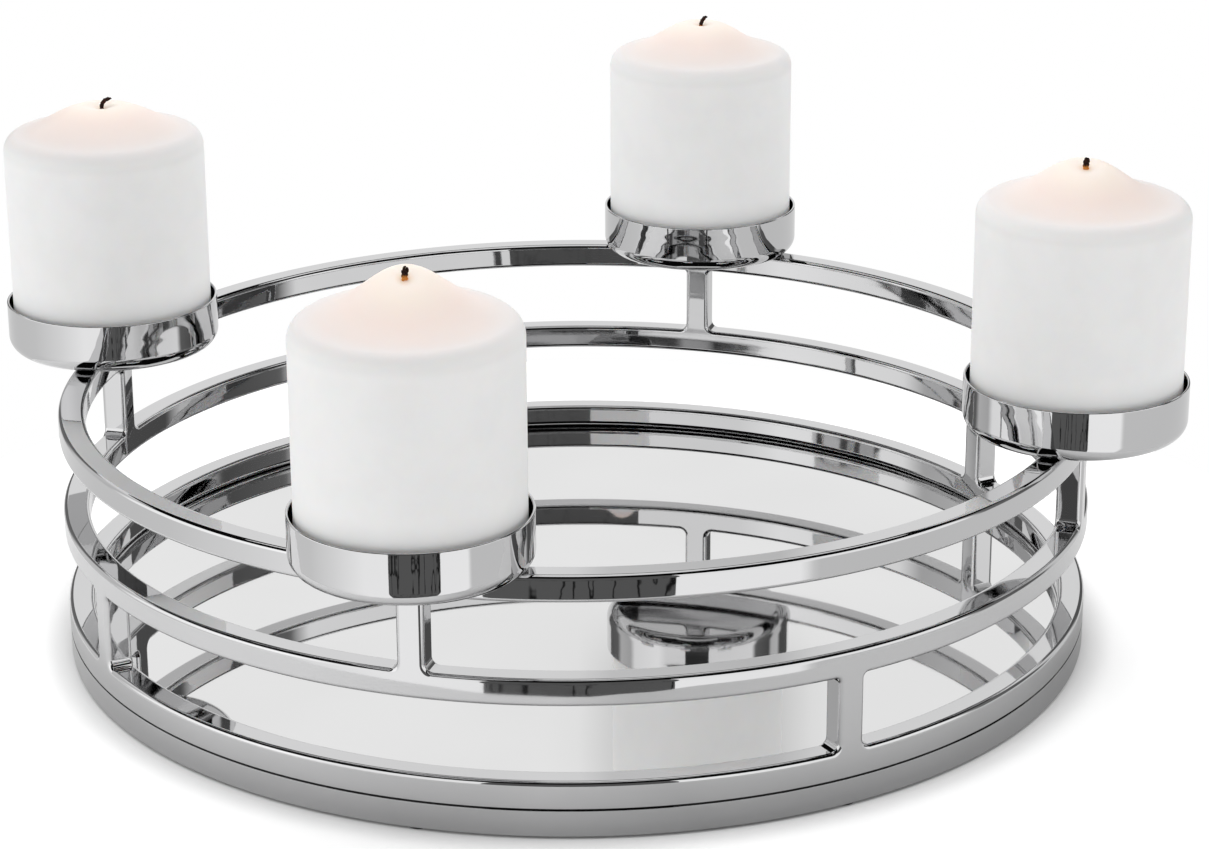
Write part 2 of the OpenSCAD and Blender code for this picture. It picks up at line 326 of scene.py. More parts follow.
class Recipe:
    """A material's or the world's node tree while it is written."""

    def __init__(self, tree):
        self.tree = tree
        tree.nodes.clear()

    def node(self, kind, settings, sockets, output=0):
        """Adds a node, makes its settings and then fills its sockets with numbers,
        colours or links. Returns one of its outputs."""
        made = self.tree.nodes.new(kind)
        for name, setting in settings.items():
            if name == "stops":
                self.set_stops(made.color_ramp.elements, setting)
            else:
                setattr(made, name, setting)
        for name, filling in sockets.items():
            if isinstance(filling, Value):
                self.tree.links.new(filling.socket, made.inputs[name])
            else:
                made.inputs[name].default_value = filling
        return Value(self, made.outputs[output]) if made.outputs else None

    def set_stops(self, elements, stops):
        """Puts (place, grey or colour) stops on a ramp that starts with two."""
        while len(elements) < len(stops):
            elements.new(1.0)
        for element, (place, colour) in zip(elements, stops):
            element.position = place
            element.color = colour if hasattr(colour, "__len__") else (colour,) * 3 + (1,)

    def place(self):
        """Object coordinates."""
        return self.node("ShaderNodeTexCoord", {}, {}, "Object")

    def split(self, vector):
        """The three numbers of a vector."""
        apart = self.node("ShaderNodeSeparateXYZ", {}, {0: vector}).socket.node
        return [Value(self, output) for output in apart.outputs]

    def height(self):
        """Height over the table."""
        return self.split(self.place())[2]

    def reach(self, centre=(0.0, 0.0)):
        """Distance from an upright axis."""
        x, y, _ = self.split(self.place())
        x, y = x - float(centre[0]), y - float(centre[1])
        return (x * x + y * y) ** 0.5

    def stretched(self, vector, scale):
        """A vector scaled along its axes, for patterns that run one way."""
        return self.node("ShaderNodeMapping", {}, {"Vector": vector, "Scale": scale})

    def noise(self, vector, scale, detail=2.0, roughness=0.5):
        """Soft noise from 0 to 1, with about as many patches to the metre as its scale."""
        return self.node("ShaderNodeTexNoise", {},
                         {"Vector": vector, "Scale": scale, "Detail": detail,
                          "Roughness": roughness})

    def ramp(self, factor, stops):
        """Colour ramp over a number."""
        return self.node("ShaderNodeValToRGB", {"stops": stops}, {"Fac": factor})

    def between(self, value, low, high, to_low=0.0, to_high=1.0):
        """A number's range laid onto another one, smoothly and without overshoot."""
        return self.node("ShaderNodeMapRange", {"interpolation_type": "SMOOTHSTEP"},
                         {"Value": value, "From Min": low, "From Max": high,
                          "To Min": to_low, "To Max": to_high})

    def blend(self, factor, first, second):
        """Mix of two colours, which are sockets 6 and 7 of a Mix node."""
        return self.node("ShaderNodeMix", {"data_type": "RGBA"},
                         {0: factor, 6: first, 7: second}, 2)

    def bump(self, height, distance):
        """Normal from a height in units of distance."""
        return self.node("ShaderNodeBump", {},
                         {"Height": height, "Distance": distance, "Strength": 1.0})

    def surface(self, kind, sockets):
        """Sends a shader to the material's output."""
        shader = self.node(kind, {}, sockets)
        self.node("ShaderNodeOutputMaterial", {}, {"Surface": shader})

    def principled(self, sockets):
        """Sends a principled shader to the material's output."""
        self.surface("ShaderNodeBsdfPrincipled", sockets)


def new_material(name):
    """An empty material and its recipe."""
    material = bpy.data.materials.new(name)
    material.use_nodes = True
    return material, Recipe(material.node_tree)


def darker(colour, share):
    """A share of a colour."""
    return tuple(share * c for c in colour[:3]) + (1,)


# Roughness of a polished piece, and the height of its ripple.
BAR_FINISH = (0.03, 0.16 * MM)
PLATE_FINISH = (0.02, 0.002 * MM)
# Painted shade: the plate's edge, this wide, is drawn near black, as the seam recess lies
# in shadow.
PLATE_SHADE_RIM = 1.5 * MM  # width of the plate's cut edge
SEAM_SHADE_COLOUR = (0.02, 0.02, 0.02, 1)
SCREW_COLOUR = (0.55, 0.56, 0.58, 1)


def polished_metal(name, colour, finish, seam_shade_radius=None):
    """Mirror polished metal: faint haze in patches, hair-fine wiping marks and a slow
    ripple left by the polishing wheel. Beyond the given radius it is painted near black:
    painted shade on the plate's edge in the shadowed seam."""
    material, recipe = new_material(name)
    roughness, ripple = finish
    place = recipe.place()
    haze = recipe.noise(place, 18, 3.0)
    marks = recipe.noise(recipe.stretched(place, (260, 260, 1900)), 1.0, 4.0, 0.7)
    gloss = recipe.between(haze, 0.35, 0.75, roughness * 0.7, roughness * 1.5)
    gloss = gloss + recipe.between(marks, 0.60, 0.85, 0.0, roughness * 0.8)
    tarnish = recipe.noise(place, 9, 2.0)
    tone = recipe.blend(recipe.between(tarnish, 0.3, 0.7), colour, darker(colour, 0.96))
    # Painted shade: near black on the plate's edge, where the seam lies in shadow.
    if seam_shade_radius:
        rim = recipe.between(recipe.reach(), seam_shade_radius, seam_shade_radius + 0.3 * MM)
        tone = recipe.blend(rim, tone, SEAM_SHADE_COLOUR)
    waves = recipe.noise(place, 26, 1.0)
    bands = recipe.noise(recipe.stretched(place, (9, 9, 130)), 1.0, 1.0)
    recipe.principled({"Base Color": tone, "Metallic": 1.0, "Roughness": gloss,
                       "Normal": recipe.bump(waves + bands * 0.35, ripple)})
    return material


def plain_metal(name, colour):
    """Turned and zinc plated steel of small screws: cloudy grey with fine turning."""
    material, recipe = new_material(name)
    place = recipe.place()
    cloud = recipe.noise(place, 900, 3.0)
    tone = recipe.blend(recipe.between(cloud, 0.35, 0.65), colour, darker(colour, 0.72))
    turning = recipe.noise(recipe.stretched(place, (400, 400, 6000)), 1.0, 2.0)
    recipe.principled({"Base Color": tone, "Metallic": 1.0,
                       "Roughness": recipe.between(cloud, 0.3, 0.7, 0.28, 0.42),
                       "Normal": recipe.bump(turning, 0.02 * MM)})
    return material


def felt_material():
    """Pressed grey felt: mottled colour and a matted nap."""
    material, recipe = new_material("felt")
    place = recipe.place()
    fleck = recipe.noise(place, 2600, 4.0, 0.7)
    tone = recipe.ramp(fleck, [(0.3, (0.012, 0.012, 0.013, 1)),
                               (0.7, (0.05, 0.05, 0.053, 1))])
    nap = recipe.noise(place, 5200, 3.0, 0.8)
    recipe.principled({"Base Color": tone, "Roughness": 0.95,
                       "Normal": recipe.bump(nap, 0.15 * MM)})
    return material


# Shares of the wax's colour in its mottle, in the painted shade at the brim and in the
# painted shade at the foot. The top's painted glow, which turns to painted shade towards
# the brim, runs out to this reach from the wick.
MOTTLE_SHARE, PAINTED_BRIM_SHADE, PAINTED_FOOT_SHADE = 0.97, 0.87, 0.62
PAINTED_TOP_REACH = 40 * MM


def wax_material(side, settings):
    """Smooth candle wax: a satin surface with faint casting mottle, painted shade at the
    brim and at the foot in the dish, and a painted warm glow on the top round the wick,
    which turns to painted shade towards the brim."""
    material, recipe = new_material("wax_" + side)
    place, height, wax = recipe.place(), recipe.height(), settings.wax_colour
    shoulder = float(span("candle_" + side)[0][2]) + side_end(side, settings)
    rim = float(span("dish_" + side)[1][2])
    mottle = recipe.noise(place, 60, 3.0)
    tone = recipe.blend(recipe.between(mottle, 0.3, 0.7), wax, darker(wax, MOTTLE_SHARE))
    # Painted shade: the wax is drawn darker low down, where it stands in the dish.
    foot = recipe.between(height, rim - 14 * MM, rim + 11 * MM, 1, 0)
    tone = recipe.blend(foot, tone, darker(wax, PAINTED_FOOT_SHADE))
    # Painted shade: the wax is drawn darker round the shoulder, so that it looks no
    # brighter where it turns to the light above.
    brim = recipe.between(height, shoulder - 3 * MM, shoulder + 4 * MM)
    tone = recipe.blend(brim, tone, darker(wax, PAINTED_BRIM_SHADE))
    # Painted glow and shade: warm round the wick, as if lit through thin wax, and greyer
    # towards the brim.
    top = recipe.ramp(recipe.reach(side_centre(side)) / PAINTED_TOP_REACH, [
        (0.0, (0.97, 0.78, 0.60, 1)), (0.09, settings.painted_glow_colour),
        (0.25, (0.96, 0.84, 0.76, 1)), (0.45, (0.89, 0.77, 0.715, 1)),
        (0.7, (0.82, 0.74, 0.705, 1)), (0.95, (0.76, 0.745, 0.745, 1))])
    painted_top_mask = recipe.between(height, shoulder + 2 * MM, shoulder + 6 * MM)
    pores = recipe.noise(place, 900, 3.0, 0.6)
    dents = recipe.noise(place, 45, 2.0)
    recipe.principled({
        "Base Color": recipe.blend(painted_top_mask, tone, top), "Subsurface Weight": 0.35,
        "Subsurface Radius": (6 * MM, 4.5 * MM, 3.5 * MM), "Subsurface Scale": 1.0,
        "Specular IOR Level": 0.35,
        "Roughness": recipe.between(mottle, 0.3, 0.7, 0.42, 0.55),
        "Normal": recipe.bump(pores * 0.06 + dents, 0.12 * MM)})
    return material


AMBER = (0.72, 0.28, 0.06, 1)
CHAR, PALE_CHAR = (0.012, 0.006, 0.005, 1), (0.07, 0.025, 0.016, 1)


def wick_material(side, root):
    """Braided cotton: amber with melted wax at the foot, charred above."""
    material, recipe = new_material("wick_" + side)
    fibre = recipe.noise(recipe.place(), 3000, 3.0, 0.6)
    first, last = (root + share * MM for share in WICK_CHAR[side])
    charred = recipe.between(recipe.height() + (fibre - 0.5) * (2.5 * MM), first, last)
    burnt = recipe.blend(recipe.between(fibre, 0.45, 0.7), CHAR, PALE_CHAR)
    recipe.principled({"Base Color": recipe.blend(charred, AMBER, burnt),
                       "Roughness": 0.85, "Specular IOR Level": 0.15,
                       "Normal": recipe.bump(fibre, 0.12 * MM)})
    return material


# Rings and posts


def ring_marks(steel):
    """Angles from a post's centre to the next window's centre: close together beside the
    posts of either row, where the fillets end, and even between them."""
    half = steel.post_width / 2
    ends = sorted(math.asin((half + fillet) / RING_RADIUS)
                  for fillet in (steel.head_fillet, steel.foot_fillet))
    near = np.concatenate([np.linspace(0, ends[0], 8), [ends[1]]])
    even = np.linspace(ends[1], EIGHTH_TURN - ends[1], 60)[1:-1]
    return np.concatenate([near, even, (EIGHTH_TURN - near)[::-1]])


def full_ring_angles(steel):
    """The same marks right round, mirrored in every other eighth."""
    marks = ring_marks(steel)[:-1]
    mirrored = (EIGHTH_TURN - ring_marks(steel))[::-1][:-1]
    eighths = [(marks if i % 2 == 0 else mirrored) + i * EIGHTH_TURN for i in range(8)]
    return np.concatenate(eighths)


def rolled_metal(steel, base_angle, side, turn, fixed, height, way, border_turn,
                 border_height, edges):
    """Metal that wraps from the ring's outer face round an edge to its inner face.

    Each point of the edge has a place beside base_angle, turn, which is an angle where
    fixed is true and else a distance from the post's middle plane, a height, and way, the
    (sideways, upwards) direction out of the metal. A point of the section at angle a lies
    edge * (1 - sin a) inside the edge and edge * (1 - cos a) under the face, and its
    normal is cos a * outward + sin a * way. The flats run on to the border. The edges
    are the roundings at the outer and at the inner face."""
    width = steel.bar_width
    quarter = np.linspace(0, QUARTER_TURN, 9)
    inner_radius = RING_RADIUS - width

    def angle_at(radius, offset):
        slid = np.clip((turn - way[:, 0] * offset) / radius, -1, 1)
        return np.where(fixed, turn, np.arcsin(slid))

    def column(depth, angles, heights, direction, tilt):
        """Points at a depth between the two faces, with their normals."""
        outer = around(base_angle + side * angles[0]) * RING_RADIUS
        inner = around(base_angle + side * angles[1]) * inner_radius
        points = outer + (inner - outer) * depth / width
        outward = unit(points)
        points[:, 2] = heights
        across = side * around(np.array(base_angle + QUARTER_TURN)) * tilt[:, :1]
        normals = outward * direction + across + np.array([0, 0, 1.0]) * tilt[:, 1:]
        return points, unit(normals)

    def flat(share, face):
        """Between the rounding and the border, on the outer or the inner face."""
        radius, edge = ((RING_RADIUS, edges[0]) if face > 0 else (inner_radius, edges[1]))
        start = angle_at(radius, edge)
        angles = start + (border_turn - start) * share
        start_height = height - way[:, 1] * edge
        heights = start_height + (border_height - start_height) * share
        return column(0 if face > 0 else width, (angles, angles), heights, face, 0 * way)

    def rounding(a, depth, edge):
        offset = edge * (1 - math.sin(a))
        angles = (angle_at(RING_RADIUS, offset), angle_at(inner_radius, offset))
        return column(depth, angles, height - way[:, 1] * offset, math.cos(a),
                      math.sin(a) * way)

    columns = [flat(share, 1) for share in (1.0, 0.5)]
    columns += [rounding(a, edges[0] * (1 - math.cos(a)), edges[0]) for a in quarter]
    columns += [rounding(math.pi - a, width - edges[1] * (1 - math.cos(a)), edges[1])
                for a in quarter[::-1]]
    columns += [flat(share, -1) for share in (0.5, 1.0)]
    points = np.stack([c[0] for c in columns], axis=1)
    normals = np.stack([c[1] for c in columns], axis=1)
    return points, normals


def window_quarter(steel, post_angle, side, wall, up, middle, ring_middle, fillet):
    """Quarter of the metal round a window, from the window's centre line along the ring,
    round the fillet and up the post to half height.

    In the fillet's arc the edge lies at half width + r (1 - cos f) from the post's middle
    plane and r (1 - sin f) from the ring's face, and faces (cos f, sin f)."""
    half = steel.post_width / 2
    marks = ring_marks(steel)[::-1]
    limit = math.asin((half + fillet) / RING_RADIUS)
    beyond = marks > limit + 1e-9
    far, near = marks[beyond], marks[~beyond]
    arc = np.concatenate([EIGHTH_TURN * (1 + near / limit),
                          np.linspace(EIGHTH_TURN, 0, 8)[1:]])
    rise = np.linspace(wall + up * fillet, middle, 5)[1:]
    turn = np.concatenate([far, half + fillet * (1 - np.cos(arc)), half + 0 * rise])
    fixed = np.arange(len(turn)) < len(far)
    height = np.concatenate([wall + 0 * far, wall + up * fillet * (1 - np.sin(arc)), rise])
    way = np.stack([np.concatenate([0 * far, np.cos(arc), 1 + 0 * rise]),
                    up * np.concatenate([1 + 0 * far, np.sin(arc), 0 * rise])], axis=-1)
    border_turn = np.concatenate([far, near, np.zeros(len(arc) - len(near) + len(rise))])
    climb = ring_middle + (wall + up * fillet - ring_middle) * (1 - arc / EIGHTH_TURN)
    border_height = np.concatenate([
        ring_middle + 0 * far, np.where(arc < EIGHTH_TURN, climb, ring_middle), rise])
    points, normals = rolled_metal(steel, post_angle, side, turn, fixed, height, way,
                                   border_turn, border_height, (steel.edge_radius,) * 2)
    return points, normals, (False, False)


def ring_rim(steel, wall, up, ring_middle, edges):
    """Free edge of a ring, all the way round."""
    angles = full_ring_angles(steel)
    level = 0 * angles
    way = np.stack([level, level + up], axis=-1)
    points, normals = rolled_metal(steel, 0.0, 1, angles, level == 0, level + wall, way,
                                   angles, level + ring_middle, edges)
    return points, normals, (True, False)


def welded_frame_sheets(steel):
    """The three upper rings and both rows of posts as one skin."""
    rings = [span(name) for name in ("bottom_ring", "middle_ring", "top_ring")]
    faces = [(low[2], high[2]) for low, high in rings]
    sheets = [ring_rim(steel, faces[0][0], -1, np.mean(faces[0]),
                       (steel.seam_radius, steel.plate_edge_radius)),
              ring_rim(steel, faces[2][1], 1, np.mean(faces[2]), (steel.edge_radius,) * 2)]
    for row, first in ((0, EIGHTH_TURN), (1, 0.0)):
        floor, ceiling = faces[row][1], faces[row + 1][0]
        middle = (floor + ceiling) / 2
        for post in range(4):
            angle = first + post * FULL_TURN / 4
            for side in (1, -1):
                sheets.append(window_quarter(steel, angle, side, floor, 1, middle,
                                             np.mean(faces[row]), steel.foot_fillet))
                sheets.append(window_quarter(steel, angle, side, ceiling, -1, middle,
                                             np.mean(faces[row + 1]), steel.head_fillet))
    return sheets


def attach(piece, body, nodes):
    """Puts a piece on its body, in place of CAD nodes."""
    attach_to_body(piece, body)
    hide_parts(*nodes)


def dress(node, material):
    """Gives a carried-over CAD node its material."""
    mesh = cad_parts[node].data
    mesh.materials.clear()
    mesh.materials.append(material)


def bar_metal(steel):
    """The metal of rings, posts and dishes, made on its first use."""
    name = "polished_bar"
    return (bpy.data.materials.get(name)
            or polished_metal(name, tuple(steel.bar_colour), BAR_FINISH))


class HOLDER_OT_welded_frame(bpy.types.Operator):
    """Make the seamless frame of bottom, middle and top ring with their eight posts"""

    bl_idname = "holder.welded_frame"
    bl_label = "Rings and Posts"

    def execute(self, context):
        steel = context.scene.holder_steel
        piece = make_piece("ring_frame", welded_frame_sheets(steel), bar_metal(steel))
        nodes = ["bottom_ring", "middle_ring", "top_ring"]
        nodes += ["post_" + name for name in CORNERS + SIDES]
        attach(piece, HOLDER, nodes)
        return {"FINISHED"}


class HOLDER_OT_base(bpy.types.Operator):
    """Make the foot ring and give the floor plate and the screws their finish"""

    bl_idname = "holder.base"
    bl_label = "Base"

    def execute(self, context):
        steel = context.scene.holder_steel
        low, high = span("foot_ring")
        inner = RING_RADIUS - steel.bar_width
        corners = [(inner, low[2]), (RING_RADIUS, low[2]), (RING_RADIUS, high[2]),
                   (inner, high[2])]
        radii = [steel.edge_radius / 2] * 2 + [steel.seam_radius] * 2
        outline, normals = rounded_outline(corners, radii, 8)
        sheet = revolved(outline, normals, (0, 0), circle_angles("base"), True)
        piece = make_piece("base_band", [sheet], bar_metal(steel))
        attach(piece, HOLDER, ["foot_ring"])
        dress("floor_plate", polished_metal("mirror_plate", tuple(steel.plate_colour),
                                            PLATE_FINISH, RING_RADIUS - PLATE_SHADE_RIM))
        screws = plain_metal("screw_steel", SCREW_COLOUR)
        dress("base_screws", screws)
        dress("dish_screws", screws)
        return {"FINISHED"}


class HOLDER_OT_felt_pads(bpy.types.Operator):
    """Make the eight felt pads under the foot ring, with soft edges"""

    bl_idname = "holder.felt_pads"
    bl_label = "Felt Pads"

    def execute(self, context):
        low, high = span("felt_pads")
        reach = RING_RADIUS - context.scene.holder_steel.bar_width / 2
        radius = high[0] - reach
        soft = 0.35 * (high[2] - low[2])
        corners = [(0, low[2]), (radius, low[2]), (radius, high[2]), (0, high[2])]
        steps = 4
        outline, normals = rounded_outline(corners, [soft] * 4, steps)
        outer = slice(steps + 1, 3 * (steps + 1))
        outline = np.concatenate([corners[:1], outline[outer], corners[3:]])
        normals = np.concatenate([[(0, -1)], normals[outer], [(0, 1)]])
        sheets = [revolved(outline, normals, reach * around(np.array(pad * EIGHTH_TURN)),
                           circle_angles("pad"), False) for pad in range(8)]
        piece = make_piece("soft_pads", sheets, felt_material())
        attach(piece, HOLDER, ["felt_pads"])
        return {"FINISHED"}


class HOLDER_OT_dishes(bpy.types.Operator):
    """Make the four thin-walled dishes"""

    bl_idname = "holder.dishes"
    bl_label = "Dishes"

    def execute(self, context):
        steel = context.scene.holder_steel
        low, high = span("dish_front")
        radius = float(high[0])
        floor = low[2] + steel.dish_floor
        inner = radius - steel.dish_wall
        crisp = steel.seam_radius
        corners = [(steel.screw_hole, low[2]), (radius, low[2]), (radius, high[2]),
                   (inner, high[2]), (inner, floor), (steel.screw_seat, floor),
                   (steel.screw_hole, floor - steel.screw_seat_depth)]
        rim = 0.49 * steel.dish_wall  # the rim's two arcs nearly meet
        radii = [crisp / 2, steel.dish_corner, rim, rim, steel.dish_inner_corner, crisp / 2,
                 crisp / 2]
        outline, normals = rounded_outline(corners, radii, 12)
        for side in SIDES:
            sheet = revolved(outline, normals, side_centre(side), circle_angles("dish"),
                             True)
            piece = make_piece("polished_dish_" + side, [sheet], bar_metal(steel))
            attach(piece, HOLDER, ["dish_" + side])
        return {"FINISHED"}


# Candles and wicks


# Of each candle's top: the height of its brim and of its bell, the bell's spread and
# power, and how far its crest lies behind the wick. Lengths are in millimetres.
TOP_SHAPES = {
    "front": (83.5, 20.6, 21.1, 1.97, 4.8), "right": (85.7, 17.7, 21.0, 2.32, 3.8),
    "back": (85.6, 17.2, 23.2, 2.43, 0.7), "left": (84.8, 15.6, 25.9, 2.61, 0.0)}


def candle_top(side, settings, x, y):
    """Height of a candle's top over its foot, beside the wick at (0, 0).

    At a distance r from the wick and d from the crest it is the brim's height, less
    sink * (1 - r / radius), plus bell * exp(-(d / spread)^power), less the melt pool
    depth * exp(-(r / width)^2)."""
    brim, bell, spread, power, behind = TOP_SHAPES[side]
    crest = behind * MM * around(np.array(settings.crest_heading))
    from_wick = np.hypot(x, y)
    from_crest = np.hypot(x - crest[0], y - crest[1])
    plate = brim * MM - settings.top_sink * (1 - from_wick / CANDLE_RADIUS)
    peak = bell * MM * np.exp(-(from_crest / (spread * MM)) ** power)
    pool = settings.pool_depth * np.exp(-(from_wick / settings.pool_width) ** 2)
    return plate + peak - pool


def side_end(side, settings):
    """Height of a candle's straight side, up to the shoulder."""
    return TOP_SHAPES[side][0] * MM - settings.shoulder_height


def wick_root(side, settings):
    """Height at which a wick leaves the wax."""
    return float(span("candle_" + side)[0][2] + candle_top(side, settings, 0.0, 0.0))


def candle_sheet(side, settings):
    """Skin of a candle, from the middle of its foot round the shoulder to the wick.

    A point at distance r and angle a lies at fixed + share * top(x, y). Share is 0 up
    to the straight side's end, sin(t) on the shoulder, which is a quarter of an ellipse,
    and 1 on the top. The normal is the cross product of the steps round and along."""
    width, foot = settings.shoulder_width, settings.foot_radius
    straight = side_end(side, settings)
    flat = CANDLE_RADIUS - width
    underside = np.linspace(0, CANDLE_RADIUS - foot, 12)[:-1]
    arc = np.linspace(0, QUARTER_TURN, 17)
    climb = np.linspace(foot, straight, 26)[1:-1]
    inwards = flat * (1 - np.linspace(0, 1, 70)[1:])
    parts = [
        [underside, 0 * underside, 0 * underside],
        [CANDLE_RADIUS - foot + foot * np.sin(arc), foot * (1 - np.cos(arc)), 0 * arc],
        [CANDLE_RADIUS + 0 * climb, climb, 0 * climb],
        [flat + width * np.cos(arc), straight * (1 - np.sin(arc)), np.sin(arc)],
        [inwards, 0 * inwards, 1 + 0 * inwards]]
    distance, fixed, share = np.concatenate([np.array(part).T for part in parts]).T
    outward = around(circle_angles("candle"))[:, None, :]
    points = outward * distance[:, None]
    top = candle_top(side, settings, points[..., 0], points[..., 1])
    points[..., 2] = fixed + share * top
    along = np.gradient(points, axis=1)
    round_about = np.roll(points, -1, axis=0) - np.roll(points, 1, axis=0)
    normals = np.cross(round_about, along)
    normals[:, 0] = (0, 0, -1)
    normals[:, -1] = (0, 0, 1)
    points += np.append(side_centre(side), span("candle_" + side)[0][2])
    return points, unit(normals), (True, False)


class HOLDER_OT_candles(bpy.types.Operator):
    """Make the four pillar candles with their peaked tops"""

    bl_idname = "holder.candles"
    bl_label = "Candles"

    def execute(self, context):
        settings = context.scene.holder_candles
        for side in SIDES:
            piece = make_piece("pillar_candle_" + side, [candle_sheet(side, settings)],
                               wax_material(side, settings))
            attach(piece, side + "_candle", ["candle_" + side])
        return {"FINISHED"}


WICK_BENDS = {  # direction, bend, straight part and bend radius as shares of the length
    "front": (-38, 36, 0.16, 1.40), "right": (-60, 50, 0.24, 0.93),
    "back": (17, 65, 0.02, 0.95), "left": (20, 102, 0.16, 0.68)}
WICK_CHAR = {  # heights over the wax between which the char begins, in millimetres
    "front": (0.8, 1.9), "right": (0.7, 1.7), "back": (0.1, 0.7), "left": (0.0, 0.5)}
STRAND_ENDS = {  # how far each strand reaches, and how far the ends part
    "front": ((0.90, 1.0, 0.82), 0.22), "right": ((1.0, 0.96, 0.86), 0.10),
    "back": ((1.0, 0.97, 0.92), 0.0), "left": ((1.0, 0.98, 0.93), 0.0)}
WICK_FOOT = 1.5 * MM  # how deep the braid starts in the wax
# Shares of the braid's width: a strand's swing across it and through it, and its radius.
STRAND_SWING, STRAND_DEPTH, STRAND_RADIUS = 0.24, 0.09, 0.25
BRAID_TURNS = 1.1  # turns of the braid over the wick's length
LEAN_START = 0.55  # share of a strand's length where it begins to lean out


def wick_line(side, settings, distance):
    """Middle line of a wick at these distances along it: straight up, then an arc about
    a point at the bend radius towards its direction. Returns points and directions."""
    heading, bend, stub, radius = WICK_BENDS[side]
    straight = stub * settings.wick_length
    radius *= settings.wick_length
    angle = np.maximum(distance - straight, 0) / radius
    towards = around(np.array(math.radians(heading)))
    up = np.array([0, 0, 1.0])
    centre = np.append(side_centre(side), wick_root(side, settings))
    rise = np.minimum(distance, straight) + radius * np.sin(angle)
    points = (centre + rise[:, None] * up
              + (radius * (1 - np.cos(angle)))[:, None] * towards)
    return points, np.cos(angle)[:, None] * up + np.sin(angle)[:, None] * towards, towards


def wick_strand(side, settings, strand):
    """One strand of a flat braid of three, a tube round the wick's line.

    Its middle swings across the wick by sin(t) and through it by sin(2 t), a third of a
    turn behind the strand before. Towards the tip it leans out and grows thin."""
    ends, part = STRAND_ENDS[side]
    _, bend, stub, radius = WICK_BENDS[side]
    length = settings.wick_length * (stub + radius * math.radians(bend))
    share = np.append(0, np.linspace(0, 1, 60))
    distance = (length + WICK_FOOT) * ends[strand] * share - WICK_FOOT
    line, along, towards = wick_line(side, settings, distance)
    across = np.cross(towards, [0, 0, 1.0])
    through = np.cross(along, across)
    turns = distance / settings.wick_length * BRAID_TURNS + strand / 3
    phase = turns * FULL_TURN
    lean = np.clip((share - LEAN_START) / (1 - LEAN_START), 0, 1) ** 2
    lean = lean * (strand - 0.8) * part
    swing = settings.wick_width * (STRAND_SWING * np.sin(phase) + lean)
    depth = settings.wick_width * STRAND_DEPTH * np.sin(2 * phase)
    middle = line + swing[:, None] * across + depth[:, None] * through
    thickness = settings.wick_width * STRAND_RADIUS * np.sqrt(np.clip(1 - share ** 8, 0, 1))
    thickness[0] = 0
    spin = circle_angles("strand")
    round_about = (np.cos(spin)[None, :, None] * across
                   + np.sin(spin)[None, :, None] * through[:, None, :])
    points = middle[:, None, :] + round_about * thickness[:, None, None]
    round_about[0] = -along[0]
    return points, round_about, (False, True)


class HOLDER_OT_wicks(bpy.types.Operator):
    """Make the four braided wicks, bent and burnt at the tips"""

    bl_idname = "holder.wicks"
    bl_label = "Wicks"

    def execute(self, context):
        settings = context.scene.holder_candles
        for side in SIDES:
            material = wick_material(side, wick_root(side, settings))
            sheets = [wick_strand(side, settings, strand) for strand in range(3)]
            piece = make_piece("braided_wick_" + side, sheets, material)
            attach(piece, side + "_candle", ["wick_" + side])
        return {"FINISHED"}


# Studio


class HOLDER_OT_studio(bpy.types.Operator):
    """Make the floor, the light and the camera"""

    bl_idname = "holder.studio"
    bl_label = "Studio"

    def execute(self, context):
        studio = context.scene.holder_studio
        make_world(context.scene, studio)
        make_floor(studio)
        make_cards(studio)
        make_camera(context.scene, studio)
        context.scene.view_settings.view_transform = "Standard"
        return {"FINISHED"}


def background_rays(recipe):
    """One for the rays that see the background: camera, glossy and transmission rays."""
    rays = recipe.node("ShaderNodeLightPath", {}, {}, "Is Camera Ray")
    outputs = rays.socket.node.outputs
    return (rays + Value(recipe, outputs["Is Glossy Ray"])
            + Value(recipe, outputs["Is Transmission Ray"]))


def make_world(scene, studio):
    """Plain white surroundings, which also give the soft light."""
    scene.world = bpy.data.worlds.new("studio")
    scene.world.use_nodes = True
    recipe = Recipe(scene.world.node_tree)
    seen = background_rays(recipe)
    strength = studio.light_level + seen * (1 - studio.light_level)
    background = recipe.node("ShaderNodeBackground", {},
                             {"Color": WHITE, "Strength": strength})
    recipe.node("ShaderNodeOutputWorld", {}, {"Surface": background})


FLOOR_GREY = 0.84


def make_floor(studio):
    """Round white floor. Unshaded it is as white as the background, and the object's
    shadow stays on it."""
    material, recipe = new_material("studio_floor")
    paint = recipe.node("ShaderNodeBsdfDiffuse", {}, {"Color": darker(WHITE, FLOOR_GREY)})
    fade = recipe.between(recipe.reach(), RING_RADIUS - 6 * MM, RING_RADIUS + 15 * MM)
    glow = recipe.node("ShaderNodeEmission", {}, {
        "Color": WHITE, "Strength": background_rays(recipe) * fade * studio.floor_glow})
    recipe.surface("ShaderNodeAddShader", {0: paint, 1: glow})
    make_piece("floor", [disc_sheet(studio.floor_radius, 0.0)], material)


def disc_sheet(radius, height, way=1):
    """Level disc round the upright axis. Way is 1 to face up and -1 to face down."""
    outline = np.linspace((0, height), (radius, height), 20)
    normals = np.zeros_like(outline) + (0, way)
    return revolved(outline, normals, (0, 0), circle_angles("disc"), False)


def wall_sheet(studio, first, last, radius, low, high):
    """Upright wall round the object, between two angles counted from the camera's side,
    positive to the right."""
    turns = studio.azimuth - QUARTER_TURN + np.radians(np.linspace(first, last, 60))
    outward = np.repeat(around(turns)[:, None, :], 2, axis=1)
    points = outward * radius
    points[:, 0, 2] = low
    points[:, 1, 2] = high
    return points, -outward, (False, False)


